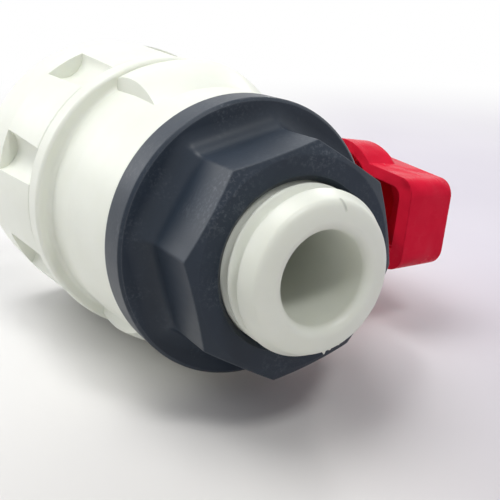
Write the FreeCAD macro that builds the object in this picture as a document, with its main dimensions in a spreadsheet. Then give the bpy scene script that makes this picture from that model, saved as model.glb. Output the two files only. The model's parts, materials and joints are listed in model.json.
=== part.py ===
import FreeCAD, Part
import math
import os
import re
import Sketcher

# Tank drain tap. The origin is the middle of the body's front seating face, which lies against the
# tank wall. Water flows along +Y, the tank thread points along -Y, and the stem points along +X.

# Driving sizes in millimetres and degrees
SIZES = {
    # body: cross drum round the stem axis
    "stem_place": 15.85,
    "drum_radius": 22.0,
    "drum_low_end": 10.5,
    "drum_widest": 1.6,
    "belly_round": 23.8,
    "shoulder_round": 7.9,
    "neck_radius": 7.8,
    "neck_root_round": 1.45,
    "neck_end": 25.4,
    "neck_edge_cut": 0.8,
    # body: barrel along the flow axis
    "barrel_radius": 19.6,
    "barrel_front_radius": 18.9,
    "barrel_draft_length": 12.7,
    "barrel_edge_cut": 0.3,
    "barrel_root_round": 0.85,
    "rim_inset": 0.15,
    "rim_front": 19.9,
    "rim_width": 3.8,
    "rim_round": 0.7,
    "rim_back_cut": 0.3,
    "body_end": 38.8,
    # tank thread and nose
    "spigot_radius": 10.48,
    "spigot_length": 21.5,
    "thread_depth": 1.16,
    "nose_length": 4.4,
    "nose_round": 1.9,
    "mouth_cut": 0.65,
    "bore_radius": 6.61,
    # union thread
    "union_radius": 17.4,
    "union_depth": 1.2,
    # running and seating clearances
    "turn_gap": 0.1,
    "seat_gap": 0.05,
    # back nut and its washer
    "nut_gap": 0.2,
    "flange_radius": 19.1,
    "flange_thick": 4.5,
    "flange_edge_cut": 0.4,
    "nut_corner_radius": 15.53,
    "nut_height": 10.8,
    "nut_turn": 4.1,
    "nut_root_round": 2.85,
    "nut_edge_round": 0.4,
    "nut_corner_cut": 1.75,
    "nut_corner_drop": 0.7,
    "nut_mouth_width": 0.7,
    "recess_depth": 1.8,
    "tank_washer_radius": 15.9,
    # ball and its seats
    "ball_wall": 3.7,
    "ball_gap": 0.4,
    "slot_width": 4.1,
    "slot_depth": 2.55,
    "seat_inset": 0.65,
    "seat_length": 3.5,
    "seat_wrap": 4.4,
    "seat_ring_thick": 0.75,
    "carrier_lead": 1.1,
    "carrier_wall": 2.95,
    "carrier_web": 3.2,
    "carrier_drive_radius": 9.5,
    "carrier_ring_place": 28.5,
    "carrier_ring_thick": 0.7,
    # stem
    "tongue_length": 9.5,
    "collar_radius": 5.5,
    "collar_start": 10.55,
    "collar_thick": 1.6,
    "stem_washer_thick": 0.8,
    "stem_radius": 4.4,
    "stem_ring_low": 15.9,
    "stem_ring_step": 4.0,
    "stem_ring_thick": 0.6,
    "square_width": 5.5,
    "square_end": 32.1,
    # handle
    "rim_plane": 29.5,
    "hub_radius": 10.9,
    "hub_draft": 0.3,
    "hub_top": 36.5,
    "hub_round": 1.6,
    "bar_top": 39.6,
    "bar_reach": 18.3,
    "bar_top_reach": 17.2,
    "bar_middle_width": 8.6,
    "bar_end_width": 7.5,
    "bar_draft": 0.3,
    "bar_corner": 2.85,
    "bar_edge_round": 0.85,
    "handle_wall": 1.75,
    "handle_end_wall": 2.6,
    "boss_radius": 5.5,
    "boss_gap": 0.5,
    # handle screw and cap
    "screw_radius": 1.5,
    "screw_head_radius": 3.3,
    "screw_head_height": 1.9,
    "screw_head_place": 34.6,
    "screw_tip": 26.6,
    "screw_slot": 0.95,
    "cap_radius": 4.4,
    "cap_height": 1.9,
    "cap_dome": 0.4,
    # union nut and hose tail
    "union_gap": 0.5,
    "union_length": 24.0,
    "grip_proud": 0.55,
    "grip_taper": 0.85,
    "flute_radius": 3.6,
    "flute_depth": 2.4,
    "flute_length": 13.5,
    "flute_turn": 33.5,
    "union_edge_round": 1.25,
    "union_front_round": 0.4,
    "union_mouth_cut": 0.8,
    "tail_washer_thick": 1.6,
    "tail_collar_radius": 15.7,
    "tail_collar_thick": 3.8,
    "tail_neck_radius": 9.7,
    "tail_neck_length": 5.5,
    "barb_radius": 8.1,
    "barb_depth": 0.85,
    "barb_pitch": 4.8,
    "barb_flat": 0.5,
    "tail_bore": 5.7,
}
NUT_SIDES = 8
FLUTES = 8
RING_SIDES = 6
BARBS = 5

# Places that follow from the driving sizes
BALL_RADIUS = "(bore_radius + ball_wall)"
SEAT_FACE = "(bore_radius + ball_wall - seat_wrap)"
SEAT_OUTER = "(bore_radius + ball_wall - seat_inset)"
CARRIER_FRONT = "(bore_radius + ball_wall - seat_wrap + carrier_lead)"
CARRIER_RADIUS = "(bore_radius + ball_wall - seat_inset + carrier_wall)"
RIM_RADIUS = "(drum_radius - rim_inset)"
RIM_BACK = "rim_front + rim_width"
GRIP_RADIUS = "(drum_radius + grip_proud)"
FAR = "2 * drum_radius"
NUT_BACK = "-nut_gap"
FLANGE_FRONT = "-(nut_gap + flange_thick)"
NUT_FRONT = "-(nut_gap + flange_thick + nut_height)"
RECESS_FLOOR = "-(nut_gap + recess_depth)"
NUT_BORE = "spigot_radius + turn_gap"
SEAT_POCKET = "{} + turn_gap".format(SEAT_OUTER)
BEHIND_SEAT = "{} + seat_length + 2 * seat_ring_thick + seat_gap".format(SEAT_FACE)
FRONT_POCKET = "stem_place - ({})".format(BEHIND_SEAT)
REAR_POCKET = "stem_place + ({})".format(BEHIND_SEAT)
CHAMBER_RADIUS = "{} + ball_gap".format(BALL_RADIUS)
CARRIER_START = "stem_place + {}".format(CARRIER_FRONT)
CARRIER_BORE = "{} + turn_gap".format(CARRIER_RADIUS)
COLLAR_END = "collar_start + collar_thick"
STEM_SHOULDER = "collar_start + collar_thick + stem_washer_thick"
STEM_BORE = "stem_radius + turn_gap"
BOSS_LOW = "neck_end + boss_gap"
CAP_SEAT = "bar_top - cap_height"
UNION_START = "rim_front + rim_width + union_gap"
UNION_END = "rim_front + rim_width + union_gap + union_length"
FLUTE_END = "rim_front + rim_width + union_gap + flute_length"
UNION_BORE = "union_radius + turn_gap"
TAIL_START = "body_end + tail_washer_thick"
LIP_START = "body_end + tail_washer_thick + tail_collar_thick"
BARB_START = "body_end + tail_washer_thick + tail_collar_thick + tail_neck_length"

doc = FreeCAD.newDocument("TankDrainTap")


def make_sheet():
    """Write the driving sizes into the sheet, one named cell each."""
    sheet = doc.addObject("Spreadsheet::Sheet", "Sizes")
    for row, (alias, number) in enumerate(SIZES.items(), start=1):
        sheet.set("A{}".format(row), alias.replace("_", " "))
        sheet.set("B{}".format(row), str(number))
        sheet.setAlias("B{}".format(row), alias)
    doc.recompute()
    return sheet


sheet = make_sheet()


def named_cell(word):
    """Give the sheet's name for a word that is a size, and any other word as it is."""
    name = word.group()
    return "Sizes." + name if name in SIZES else name


def formula(text):
    """Turn the size names in a formula into references to the sheet."""
    return re.sub(r"[a-z_]+", named_cell, text)


def value(text):
    """Work out a formula in millimetres."""
    return float(sheet.evalExpression(formula(text).replace("Sizes.", "")))


def minus(text):
    """Give the formula with its sign turned."""
    return "-({})".format(text)


def new_body(label):
    """Start a piece as a body of its own."""
    body = doc.addObject("PartDesign::Body", "Body_" + label)
    body.Label = label
    return body


def on_stem(piece):
    """Place a piece that is drawn round the stem axis."""
    piece.setExpression("Placement.Base.y", formula("stem_place"))
    return piece


def new_sketch(body, name, plane, along="0", out="0"):
    """Lay a sketch on one of the body's origin planes, shifted up the plane and along its normal."""
    sketch = body.newObject("Sketcher::SketchObject", name)
    support = [item for item in body.Origin.OriginFeatures if item.Role == plane][0]
    sketch.AttachmentSupport = [(support, "")]
    sketch.MapMode = "FlatFace"
    sketch.setExpression("AttachmentOffset.Base.y", formula(along))
    sketch.setExpression("AttachmentOffset.Base.z", formula(out))
    return sketch


def arc_between(start, end, radius, turn):
    """Make the short arc from start to end; turn is 1 counter-clockwise and -1 clockwise."""
    chord = end - start
    half = chord.Length / 2
    rise = math.sqrt(max(radius ** 2 - half ** 2, 0.0))
    normal = FreeCAD.Vector(-chord.y, chord.x, 0).normalize()
    centre = (start + end) * 0.5 + normal * rise * turn
    first, last = (start, end) if turn > 0 else (end, start)
    first_angle = math.atan2(first.y - centre.y, first.x - centre.x)
    last_angle = math.atan2(last.y - centre.y, last.x - centre.x)
    circle = Part.Circle(centre, FreeCAD.Vector(0, 0, 1), radius)
    return Part.ArcOfCircle(circle, first_angle, last_angle)


def pin(sketch, item, end, across, along):
    """Hold one end of a line or arc at a place given by two formulas."""
    for kind, text in (("DistanceX", across), ("DistanceY", along)):
        index = sketch.addConstraint(Sketcher.Constraint(kind, -1, 1, item, end, value(text)))
        sketch.setExpression("Constraints[{}]".format(index), formula(text))


def draw(sketch, corners, arcs=None):
    """Draw a closed outline through the corners; arcs maps a corner's number to (radius, turn)."""
    arcs = arcs or {}
    places = [FreeCAD.Vector(value(across), value(along), 0) for across, along in corners]
    for number, start in enumerate(places):
        end = places[(number + 1) % len(places)]
        if number in arcs:
            radius, turn = arcs[number]
            sketch.addGeometry(arc_between(start, end, value(radius), turn), False)
        else:
            sketch.addGeometry(Part.LineSegment(start, end), False)
    starts = [2 if arcs.get(number, ("", 1))[1] < 0 else 1 for number in range(len(corners))]
    for number, (across, along) in enumerate(corners):
        before = (number - 1) % len(corners)
        sketch.addConstraint(
            Sketcher.Constraint("Coincident", before, 3 - starts[before], number, starts[number])
        )
        pin(sketch, number, starts[number], across, along)
    for number, (radius, turn) in arcs.items():
        index = sketch.addConstraint(Sketcher.Constraint("Radius", number, value(radius)))
        sketch.setExpression("Constraints[{}]".format(index), formula(radius))
    return sketch


def draw_circle(sketch, radius, across="0", along="0"):
    """Draw a circle whose centre and radius follow formulas."""
    centre = FreeCAD.Vector(value(across), value(along), 0)
    number = sketch.addGeometry(Part.Circle(centre, FreeCAD.Vector(0, 0, 1), value(radius)), False)
    pin(sketch, number, 3, across, along)
    index = sketch.addConstraint(Sketcher.Constraint("Radius", number, value(radius)))
    sketch.setExpression("Constraints[{}]".format(index), formula(radius))
    return sketch


def turned(body, name, corners, arcs=None, cut=False, about="flow", along="0"):
    """Turn an outline about the flow axis (radius, place) or the stem axis (place, radius)."""
    sketch = draw(new_sketch(body, name + "Outline", "XY_Plane", along=along), corners, arcs)
    feature = body.newObject("PartDesign::Groove" if cut else "PartDesign::Revolution", name)
    feature.Profile = sketch
    feature.ReferenceAxis = (sketch, ["V_Axis" if about == "flow" else "H_Axis"])
    feature.Angle = 360
    doc.recompute()
    return feature


def raised(body, name, sketch, length):
    """Pad a sketch along its normal."""
    feature = body.newObject("PartDesign::Pad", name)
    feature.Profile = sketch
    feature.setExpression("Length", formula(length))
    doc.recompute()
    return feature


def cut_out(body, name, sketch, length):
    """Cut a sketch into the body along the sketch's normal."""
    before = body.Shape.Volume
    feature = body.newObject("PartDesign::Pocket", name)
    feature.Profile = sketch
    feature.Reversed = True
    feature.setExpression("Length", formula(length))
    doc.recompute()
    if body.Shape.Volume >= before:
        raise ValueError(name + " cuts nothing")
    return feature


def rounded(body, name, radius, chosen):
    """Round the edges of the body's tip that the test chooses."""
    base = body.Tip
    edges = enumerate(base.Shape.Edges, start=1)
    picked = ["Edge{}".format(number) for number, edge in edges if chosen(edge)]
    feature = body.newObject("PartDesign::Fillet", name)
    feature.Base = (base, picked)
    feature.setExpression("Radius", formula(radius))
    doc.recompute()
    return feature


def make_drum(body):
    """Cross drum: domed underside, rounded shoulder and neck, trimmed to the barrel's length."""
    base_radius = "drum_radius - belly_round + sqrt(belly_round^2 - (drum_low_end + drum_widest)^2)"
    shoulder = "(drum_widest + shoulder_round)"
    corners = [
        ("-drum_low_end", "0"),
        ("-drum_low_end", base_radius),
        ("drum_widest", "drum_radius"),
        (shoulder, "drum_radius - shoulder_round"),
        (shoulder, "neck_radius + neck_root_round"),
        (shoulder + " + neck_root_round", "neck_radius"),
        ("neck_end - neck_edge_cut", "neck_radius"),
        ("neck_end", "neck_radius - neck_edge_cut"),
        ("neck_end", "0"),
    ]
    arcs = {
        1: ("belly_round", -1),
        2: ("shoulder_round", -1),
        4: ("neck_root_round", 1),
    }
    turned(body, "Drum", corners, arcs, about="stem", along="stem_place")
    turned(body, "FrontTrim", [("0", minus(FAR)), (FAR, minus(FAR)), (FAR, "0"), ("0", "0")], cut=True)
    drum_end = "rim_front + rim_round"
    turned(body, "RearTrim", [("0", drum_end), (FAR, drum_end), (FAR, FAR), ("0", FAR)], cut=True)


def make_barrel(body):
    """Barrel, rim, smooth nose and the roots of both threads, turned about the flow axis."""
    nose_back = "nose_length - spigot_length"
    spigot_root = "spigot_radius - thread_depth"
    union_root = "union_radius - union_depth"
    corners = [
        ("0", "-spigot_length"),
        ("spigot_radius - nose_round", "-spigot_length"),
        ("spigot_radius", "nose_round - spigot_length"),
        ("spigot_radius", nose_back),
        (spigot_root, nose_back + " + thread_depth"),
        (spigot_root, "0"),
        ("barrel_front_radius - barrel_edge_cut", "0"),
        ("barrel_front_radius", "barrel_edge_cut"),
        ("barrel_radius", "barrel_draft_length"),
        ("barrel_radius", "rim_front - barrel_root_round"),
        ("barrel_radius + barrel_root_round", "rim_front"),
        (RIM_RADIUS + " - rim_round", "rim_front"),
        (RIM_RADIUS, "rim_front + rim_round"),
        (RIM_RADIUS, RIM_BACK + " - rim_back_cut"),
        (RIM_RADIUS + " - rim_back_cut", RIM_BACK),
        (union_root, RIM_BACK),
        (union_root, "body_end"),
        ("0", "body_end"),
    ]
    arcs = {
        1: ("nose_round", 1),
        9: ("barrel_root_round", -1),
        11: ("rim_round", 1),
    }
    turned(body, "Barrel", corners, arcs)


def make_body():
    """White one-piece body: drum, barrel, rim, threads, ball chamber and stem bore."""
    body = new_body("body")
    make_drum(body)
    make_barrel(body)
    corners = [
        ("0", "-spigot_length"),
        ("bore_radius + mouth_cut", "-spigot_length"),
        ("bore_radius", "mouth_cut - spigot_length"),
        ("bore_radius", FRONT_POCKET),
        (SEAT_POCKET, FRONT_POCKET),
        (SEAT_POCKET, "stem_place - " + CARRIER_FRONT),
        (CHAMBER_RADIUS, "stem_place - " + CARRIER_FRONT),
        (CHAMBER_RADIUS, CARRIER_START),
        (CARRIER_BORE, CARRIER_START),
        (CARRIER_BORE, "body_end"),
        ("0", "body_end"),
    ]
    turned(body, "Chamber", corners, cut=True)
    corners = [
        ("0", "0"),
        ("0", "collar_radius + turn_gap"),
        (STEM_SHOULDER, "collar_radius + turn_gap"),
        (STEM_SHOULDER, STEM_BORE),
        ("neck_end", STEM_BORE),
        ("neck_end", "0"),
    ]
    turned(body, "StemBore", corners, cut=True, about="stem", along="stem_place")
    return body


def make_back_nut():
    """Back nut: eight sides growing out of a round flange, with a recess for the washer."""
    body = new_body("back_nut")
    corners = [
        ("0", FLANGE_FRONT),
        ("flange_radius - flange_edge_cut", FLANGE_FRONT),
        ("flange_radius", FLANGE_FRONT + " + flange_edge_cut"),
        ("flange_radius", NUT_BACK),
        ("0", NUT_BACK),
    ]
    turned(body, "Flange", corners)
    sketch = new_sketch(body, "NutOutline", "XZ_Plane", out=minus(FLANGE_FRONT))
    step = 360.0 / NUT_SIDES
    corners = []
    for side in range(NUT_SIDES):
        angle = "({} * 1deg - nut_turn * 1deg)".format(side * step)
        across = "nut_corner_radius * cos{}".format(angle)
        corners.append((across, "nut_corner_radius * sin{}".format(angle)))
    draw(sketch, corners)
    raised(body, "NutSides", sketch, "nut_height")
    length = value("nut_height")
    rounded(body, "NutCorners", "nut_edge_round", lambda edge: abs(edge.Length - length) < 0.001)
    flange_front = value(FLANGE_FRONT)
    nut_reach = value("nut_corner_radius") + 0.1
    rounded(body, "NutRoot", "nut_root_round", lambda edge: lies_at(edge, flange_front, nut_reach))
    front = value(NUT_FRONT)
    corners = [
        ("nut_corner_radius - nut_corner_cut", NUT_FRONT),
        ("nut_corner_radius + nut_corner_cut", NUT_FRONT),
        ("nut_corner_radius + nut_corner_cut", NUT_FRONT + " + 2 * nut_corner_drop"),
    ]
    turned(body, "CornerCut", corners, cut=True)
    corners = [
        ("0", NUT_FRONT),
        (NUT_BORE + " + nut_mouth_width", NUT_FRONT),
        (NUT_BORE, NUT_FRONT + " + nut_mouth_width"),
        (NUT_BORE, RECESS_FLOOR),
        ("tank_washer_radius + turn_gap", RECESS_FLOOR),
        ("tank_washer_radius + turn_gap", NUT_BACK),
        ("0", NUT_BACK),
    ]
    turned(body, "NutBore", corners, cut=True)
    return body


def lies_at(edge, place, reach):
    """Tell whether a whole edge lies in the cross plane at place and within reach of the flow axis."""
    box = edge.BoundBox
    inside = all(math.hypot(vertex.X, vertex.Z) < reach for vertex in edge.Vertexes)
    return abs(box.YMin - place) < 0.001 and abs(box.YMax - place) < 0.001 and inside


def make_washer(label, inner, outer, start, end):
    """Flat washer on the flow axis."""
    body = new_body(label)
    turned(body, "Ring", [(inner, start), (outer, start), (outer, end), (inner, end)])
    return body


def make_seat(label, side):
    """Ball seat; side is -1 on the tank side and 1 on the outlet side."""
    body = new_body(label)
    sphere = "({} + seat_gap)".format(BALL_RADIUS)
    inner = "(bore_radius + turn_gap)"
    place = "stem_place {} ".format("-" if side < 0 else "+")
    lip = "sqrt({}^2 - {}^2)".format(sphere, SEAT_FACE)
    back = "{}({} + seat_length)".format(place, SEAT_FACE)
    corners = [
        (inner, back),
        (SEAT_OUTER, back),
        (SEAT_OUTER, place + SEAT_FACE),
        (lip, place + SEAT_FACE),
        (inner, place + "sqrt({}^2 - {}^2)".format(sphere, inner)),
    ]
    turned(body, "Seat", corners, {3: (sphere, 1 if side > 0 else -1)})
    return body


def make_ring(label, radius, thickness, place, about="flow"):
    """Rubber ring about the flow axis or the stem axis, its round section drawn with six sides."""
    body = new_body(label)
    step = 360.0 / RING_SIDES
    corners = []
    for side in range(RING_SIDES):
        angle = "({} * 1deg)".format((side + 0.5) * step)
        across = "{} + {} * cos{}".format(radius, thickness, angle)
        along = "{} + {} * sin{}".format(place, thickness, angle)
        corners.append((across, along) if about == "flow" else (along, across))
    turned(body, "Ring", corners, about=about)
    return body if about == "flow" else on_stem(body)


def make_ball():
    """Bored ball with the slot that takes the stem's tongue."""
    sphere = doc.addObject("Part::Sphere", "BallSphere")
    sphere.setExpression("Radius", formula(BALL_RADIUS))
    bore = doc.addObject("Part::Cylinder", "BallBore")
    bore.setExpression("Radius", formula("bore_radius"))
    bore.setExpression("Height", formula("4 * " + BALL_RADIUS))
    bore.Placement.Rotation = FreeCAD.Rotation(FreeCAD.Vector(1, 0, 0), 90)
    bore.setExpression("Placement.Base.y", formula("2 * " + BALL_RADIUS))
    slot = doc.addObject("Part::Box", "BallSlot")
    slot.setExpression("Length", formula("2 * slot_depth"))
    slot.setExpression("Width", formula("slot_width"))
    slot.setExpression("Height", formula("4 * " + BALL_RADIUS))
    slot.setExpression("Placement.Base.x", formula(BALL_RADIUS + " - slot_depth"))
    slot.setExpression("Placement.Base.y", formula("-slot_width / 2"))
    slot.setExpression("Placement.Base.z", formula("-2 * " + BALL_RADIUS))
    bored = doc.addObject("Part::Cut", "BallBored")
    bored.Base = sphere
    bored.Tool = bore
    ball = doc.addObject("Part::Cut", "Ball")
    ball.Base = bored
    ball.Tool = slot
    ball.Label = "ball"
    return on_stem(ball)


def make_seat_carrier():
    """Ring that closes the ball chamber and holds the rear seat."""
    body = new_body("seat_carrier")
    web_end = REAR_POCKET + " + carrier_web"
    ring_low = "carrier_ring_place - carrier_ring_thick - seat_gap"
    ring_high = "carrier_ring_place + carrier_ring_thick + seat_gap"
    floor = CARRIER_RADIUS + " - 2 * carrier_ring_thick + seat_gap"
    corners = [
        (SEAT_POCKET, CARRIER_START),
        (CARRIER_RADIUS, CARRIER_START),
        (CARRIER_RADIUS, ring_low),
        (floor, ring_low),
        (floor, ring_high),
        (CARRIER_RADIUS, ring_high),
        (CARRIER_RADIUS, "body_end"),
        ("carrier_drive_radius", "body_end"),
        ("carrier_drive_radius", web_end),
        ("bore_radius", web_end),
        ("bore_radius", REAR_POCKET),
        (SEAT_POCKET, REAR_POCKET),
    ]
    turned(body, "Carrier", corners)
    return body


def ring_groove(place):
    """List the corners of one rubber ring groove in the stem."""
    low = "{} - stem_ring_thick - seat_gap".format(place)
    high = "{} + stem_ring_thick + seat_gap".format(place)
    floor = "stem_radius - 2 * stem_ring_thick"
    return [(low, "stem_radius"), (low, floor), (high, floor), (high, "stem_radius")]


def make_stem():
    """Stem: tongue in the ball's slot, collar, two ring grooves and a square for the handle."""
    body = new_body("stem")
    corners = [("collar_start", "0"), ("collar_start", "collar_radius"), (COLLAR_END, "collar_radius")]
    corners += [(COLLAR_END, "stem_radius")]
    corners += ring_groove("stem_ring_low") + ring_groove("(stem_ring_low + stem_ring_step)")
    corners += [("neck_end", "stem_radius"), ("neck_end", "0")]
    turned(body, "Shaft", corners, about="stem")
    half = "slot_width / 2 - turn_gap"
    tongue_start = BALL_RADIUS + " - slot_depth + turn_gap"
    sketch = new_sketch(body, "TongueOutline", "YZ_Plane", out=tongue_start)
    draw(sketch, rectangle(half, "tongue_length / 2"))
    raised(body, "Tongue", sketch, "collar_start - ({})".format(tongue_start))
    sketch = new_sketch(body, "SquareOutline", "YZ_Plane", out="neck_end")
    draw(sketch, rectangle("square_width / 2", "square_width / 2"))
    raised(body, "Square", sketch, "square_end - neck_end")
    corners = [("screw_tip", "0"), ("screw_tip", "screw_radius + turn_gap")]
    corners += [("square_end", "screw_radius + turn_gap"), ("square_end", "0")]
    turned(body, "ScrewHole", corners, cut=True, about="stem")
    return on_stem(body)


def rectangle(half_across, half_along):
    """List the corners of a rectangle about the sketch's origin."""
    return [
        (minus(half_across), minus(half_along)),
        (half_across, minus(half_along)),
        (half_across, half_along),
        (minus(half_across), half_along),
    ]


def bar_outline(sketch, reach, middle, end, corner):
    """Draw the wing bar's outline: widest at the stem axis, with rounded ends."""
    right = "({} - {})".format(reach, corner)
    high = "({} - {})".format(end, corner)
    corners = [
        (reach, minus(high)),
        (reach, high),
        (right, end),
        ("0", middle),
        (minus(right), end),
        (minus(reach), high),
        (minus(reach), minus(high)),
        (minus(right), minus(end)),
        ("0", minus(middle)),
        (right, minus(end)),
    ]
    return draw(sketch, corners, {number: (corner, 1) for number in (1, 4, 6, 9)})


def loft_bar(body, name, top, side_inset="0", end_inset="0", cut=False):
    """Loft the bar between its rim and its top, its sides and ends drawn in by the insets."""
    rim_widths = ["({} - {})".format(width, side_inset) for width in ("bar_middle_width", "bar_end_width")]
    top_widths = ["({} - bar_draft)".format(width) for width in rim_widths]
    corner = "(bar_corner - {} / 2)".format(side_inset)
    low = new_sketch(body, name + "Rim", "YZ_Plane", out="rim_plane")
    bar_outline(low, "(bar_reach - {})".format(end_inset), rim_widths[0], rim_widths[1], corner)
    high = new_sketch(body, name + "Top", "YZ_Plane", out=top)
    bar_outline(high, "(bar_top_reach - {})".format(end_inset), top_widths[0], top_widths[1], corner)
    feature = body.newObject("PartDesign::SubtractiveLoft" if cut else "PartDesign::AdditiveLoft", name)
    feature.Profile = low
    feature.Sections = [high]
    feature.Ruled = True
    doc.recompute()
    return feature


def make_handle():
    """Hollow wing handle: round hub crossed by a bar, open towards the body, with a boss for the stem."""
    body = new_body("handle")
    low_round = "hub_radius - hub_draft"
    corners = [
        ("rim_plane", "0"),
        ("rim_plane", "hub_radius"),
        ("hub_top - hub_round", low_round),
        ("hub_top", low_round + " - hub_round"),
        ("hub_top", "0"),
    ]
    turned(body, "Hub", corners, {2: ("hub_round", -1)}, about="stem")
    loft_bar(body, "Bar", "bar_top")
    top = value("bar_top")
    rounded(body, "BarTopEdge", "bar_edge_round", lambda edge: abs(edge.BoundBox.XMin - top) < 0.001)
    skin_under = "bar_top - handle_wall"
    loft_bar(body, "BarHollow", skin_under, "handle_wall", "handle_end_wall", cut=True)
    corners = [
        ("rim_plane", "0"),
        ("rim_plane", "hub_radius - handle_wall"),
        ("hub_top - handle_wall", "hub_radius - hub_draft - handle_wall"),
        ("hub_top - handle_wall", "0"),
    ]
    turned(body, "HubHollow", corners, cut=True, about="stem")
    sketch = new_sketch(body, "BossOutline", "YZ_Plane", out=BOSS_LOW)
    draw_circle(sketch, "boss_radius")
    raised(body, "Boss", sketch, "{} - ({})".format("bar_top - handle_wall / 2", BOSS_LOW))
    sketch = new_sketch(body, "SocketOutline", "YZ_Plane", out=BOSS_LOW)
    draw(sketch, rectangle("square_width / 2 + turn_gap", "square_width / 2 + turn_gap"))
    cut_out(body, "Socket", sketch, "square_end + turn_gap - ({})".format(BOSS_LOW))
    corners = [
        ("square_end", "0"),
        ("square_end", "screw_radius + turn_gap"),
        ("screw_head_place", "screw_radius + turn_gap"),
        ("screw_head_place", "screw_head_radius + turn_gap"),
        (CAP_SEAT, "screw_head_radius + turn_gap"),
        (CAP_SEAT, "cap_radius + seat_gap"),
        ("bar_top", "cap_radius + seat_gap"),
        ("bar_top", "0"),
    ]
    turned(body, "ScrewWell", corners, cut=True, about="stem")
    return on_stem(body)


def make_handle_screw():
    """Screw with a slotted head that holds the handle on the stem."""
    body = new_body("handle_screw")
    head_end = "screw_head_place + screw_head_height"
    corners = [
        ("screw_tip + turn_gap", "0"),
        ("screw_tip + screw_radius / 2 + turn_gap", "screw_radius"),
        ("screw_head_place", "screw_radius"),
        ("screw_head_place", "screw_head_radius"),
        (head_end, "screw_head_radius - screw_head_height / 2"),
        (head_end, "0"),
    ]
    turned(body, "Screw", corners, about="stem")
    slot_floor = "screw_head_place + screw_head_height / 2"
    sketch = new_sketch(body, "SlotOutline", "YZ_Plane", out=slot_floor)
    draw(sketch, rectangle("screw_head_radius", "screw_slot / 2"))
    cut_out(body, "Slot", sketch, "screw_head_height")
    return on_stem(body)


def make_handle_cap():
    """Domed plug that closes the screw's well."""
    body = new_body("handle_cap")
    corners = [
        (CAP_SEAT, "0"),
        (CAP_SEAT, "cap_radius"),
        ("bar_top - cap_dome", "cap_radius"),
        ("bar_top", "cap_radius - 3 * cap_dome"),
        ("bar_top", "0"),
    ]
    turned(body, "Cap", corners, about="stem")
    return on_stem(body)


def make_union_nut():
    """Union nut: tapered grip with flutes, a plain band behind it, and a lip that holds the tail."""
    body = new_body("union_nut")
    front = GRIP_RADIUS + " - grip_taper"
    corners = [
        ("0", UNION_START),
        (front + " - union_front_round", UNION_START),
        (front, UNION_START + " + union_front_round"),
        (GRIP_RADIUS, FLUTE_END),
        (GRIP_RADIUS, UNION_END + " - union_edge_round"),
        (GRIP_RADIUS + " - union_edge_round", UNION_END),
        ("0", UNION_END),
    ]
    turned(body, "Grip", corners, {1: ("union_front_round", 1), 4: ("union_edge_round", 1)})
    sketch = new_sketch(body, "FluteOutline", "XZ_Plane", out=minus(FLUTE_END))
    reach = "({} - flute_depth + flute_radius)".format(GRIP_RADIUS)
    across = reach + " * cos(flute_turn * 1deg)"
    draw_circle(sketch, "flute_radius", across, reach + " * sin(flute_turn * 1deg)")
    flute = cut_out(body, "Flute", sketch, "flute_length")
    pattern = body.newObject("PartDesign::PolarPattern", "Flutes")
    pattern.Originals = [flute]
    pattern.Axis = (sketch, ["N_Axis"])
    pattern.Angle = 360
    pattern.Occurrences = FLUTES
    body.Tip = pattern
    doc.recompute()
    corners = [
        ("0", UNION_START),
        (UNION_BORE + " + union_mouth_cut", UNION_START),
        (UNION_BORE, UNION_START + " + union_mouth_cut"),
        (UNION_BORE, "body_end + turn_gap"),
        ("tail_collar_radius + turn_gap", TAIL_START),
        ("tail_collar_radius + turn_gap", LIP_START),
        ("tail_neck_radius + turn_gap", LIP_START),
        ("tail_neck_radius + turn_gap", UNION_END + " - union_mouth_cut"),
        ("tail_neck_radius + turn_gap + union_mouth_cut", UNION_END),
        ("0", UNION_END),
    ]
    turned(body, "UnionBore", corners, cut=True)
    return body


def make_tail():
    """Hose tail: collar inside the union nut, neck, and barbs for a hose."""
    body = new_body("tail")
    corners = [
        ("tail_bore", TAIL_START),
        ("tail_collar_radius", TAIL_START),
        ("tail_collar_radius", LIP_START),
        ("tail_neck_radius", LIP_START),
        ("tail_neck_radius", BARB_START),
    ]
    root = "barb_radius - barb_depth"
    corners.append((root, BARB_START))
    for barb in range(BARBS):
        foot = "{} + {} * barb_pitch".format(BARB_START, barb)
        corners.append(("barb_radius", foot))
        corners.append(("barb_radius", foot + " + barb_flat"))
        corners.append((root, foot + " + barb_pitch"))
    corners.append(("tail_bore", "{} + {} * barb_pitch".format(BARB_START, BARBS)))
    turned(body, "Tail", corners)
    return body


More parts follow.
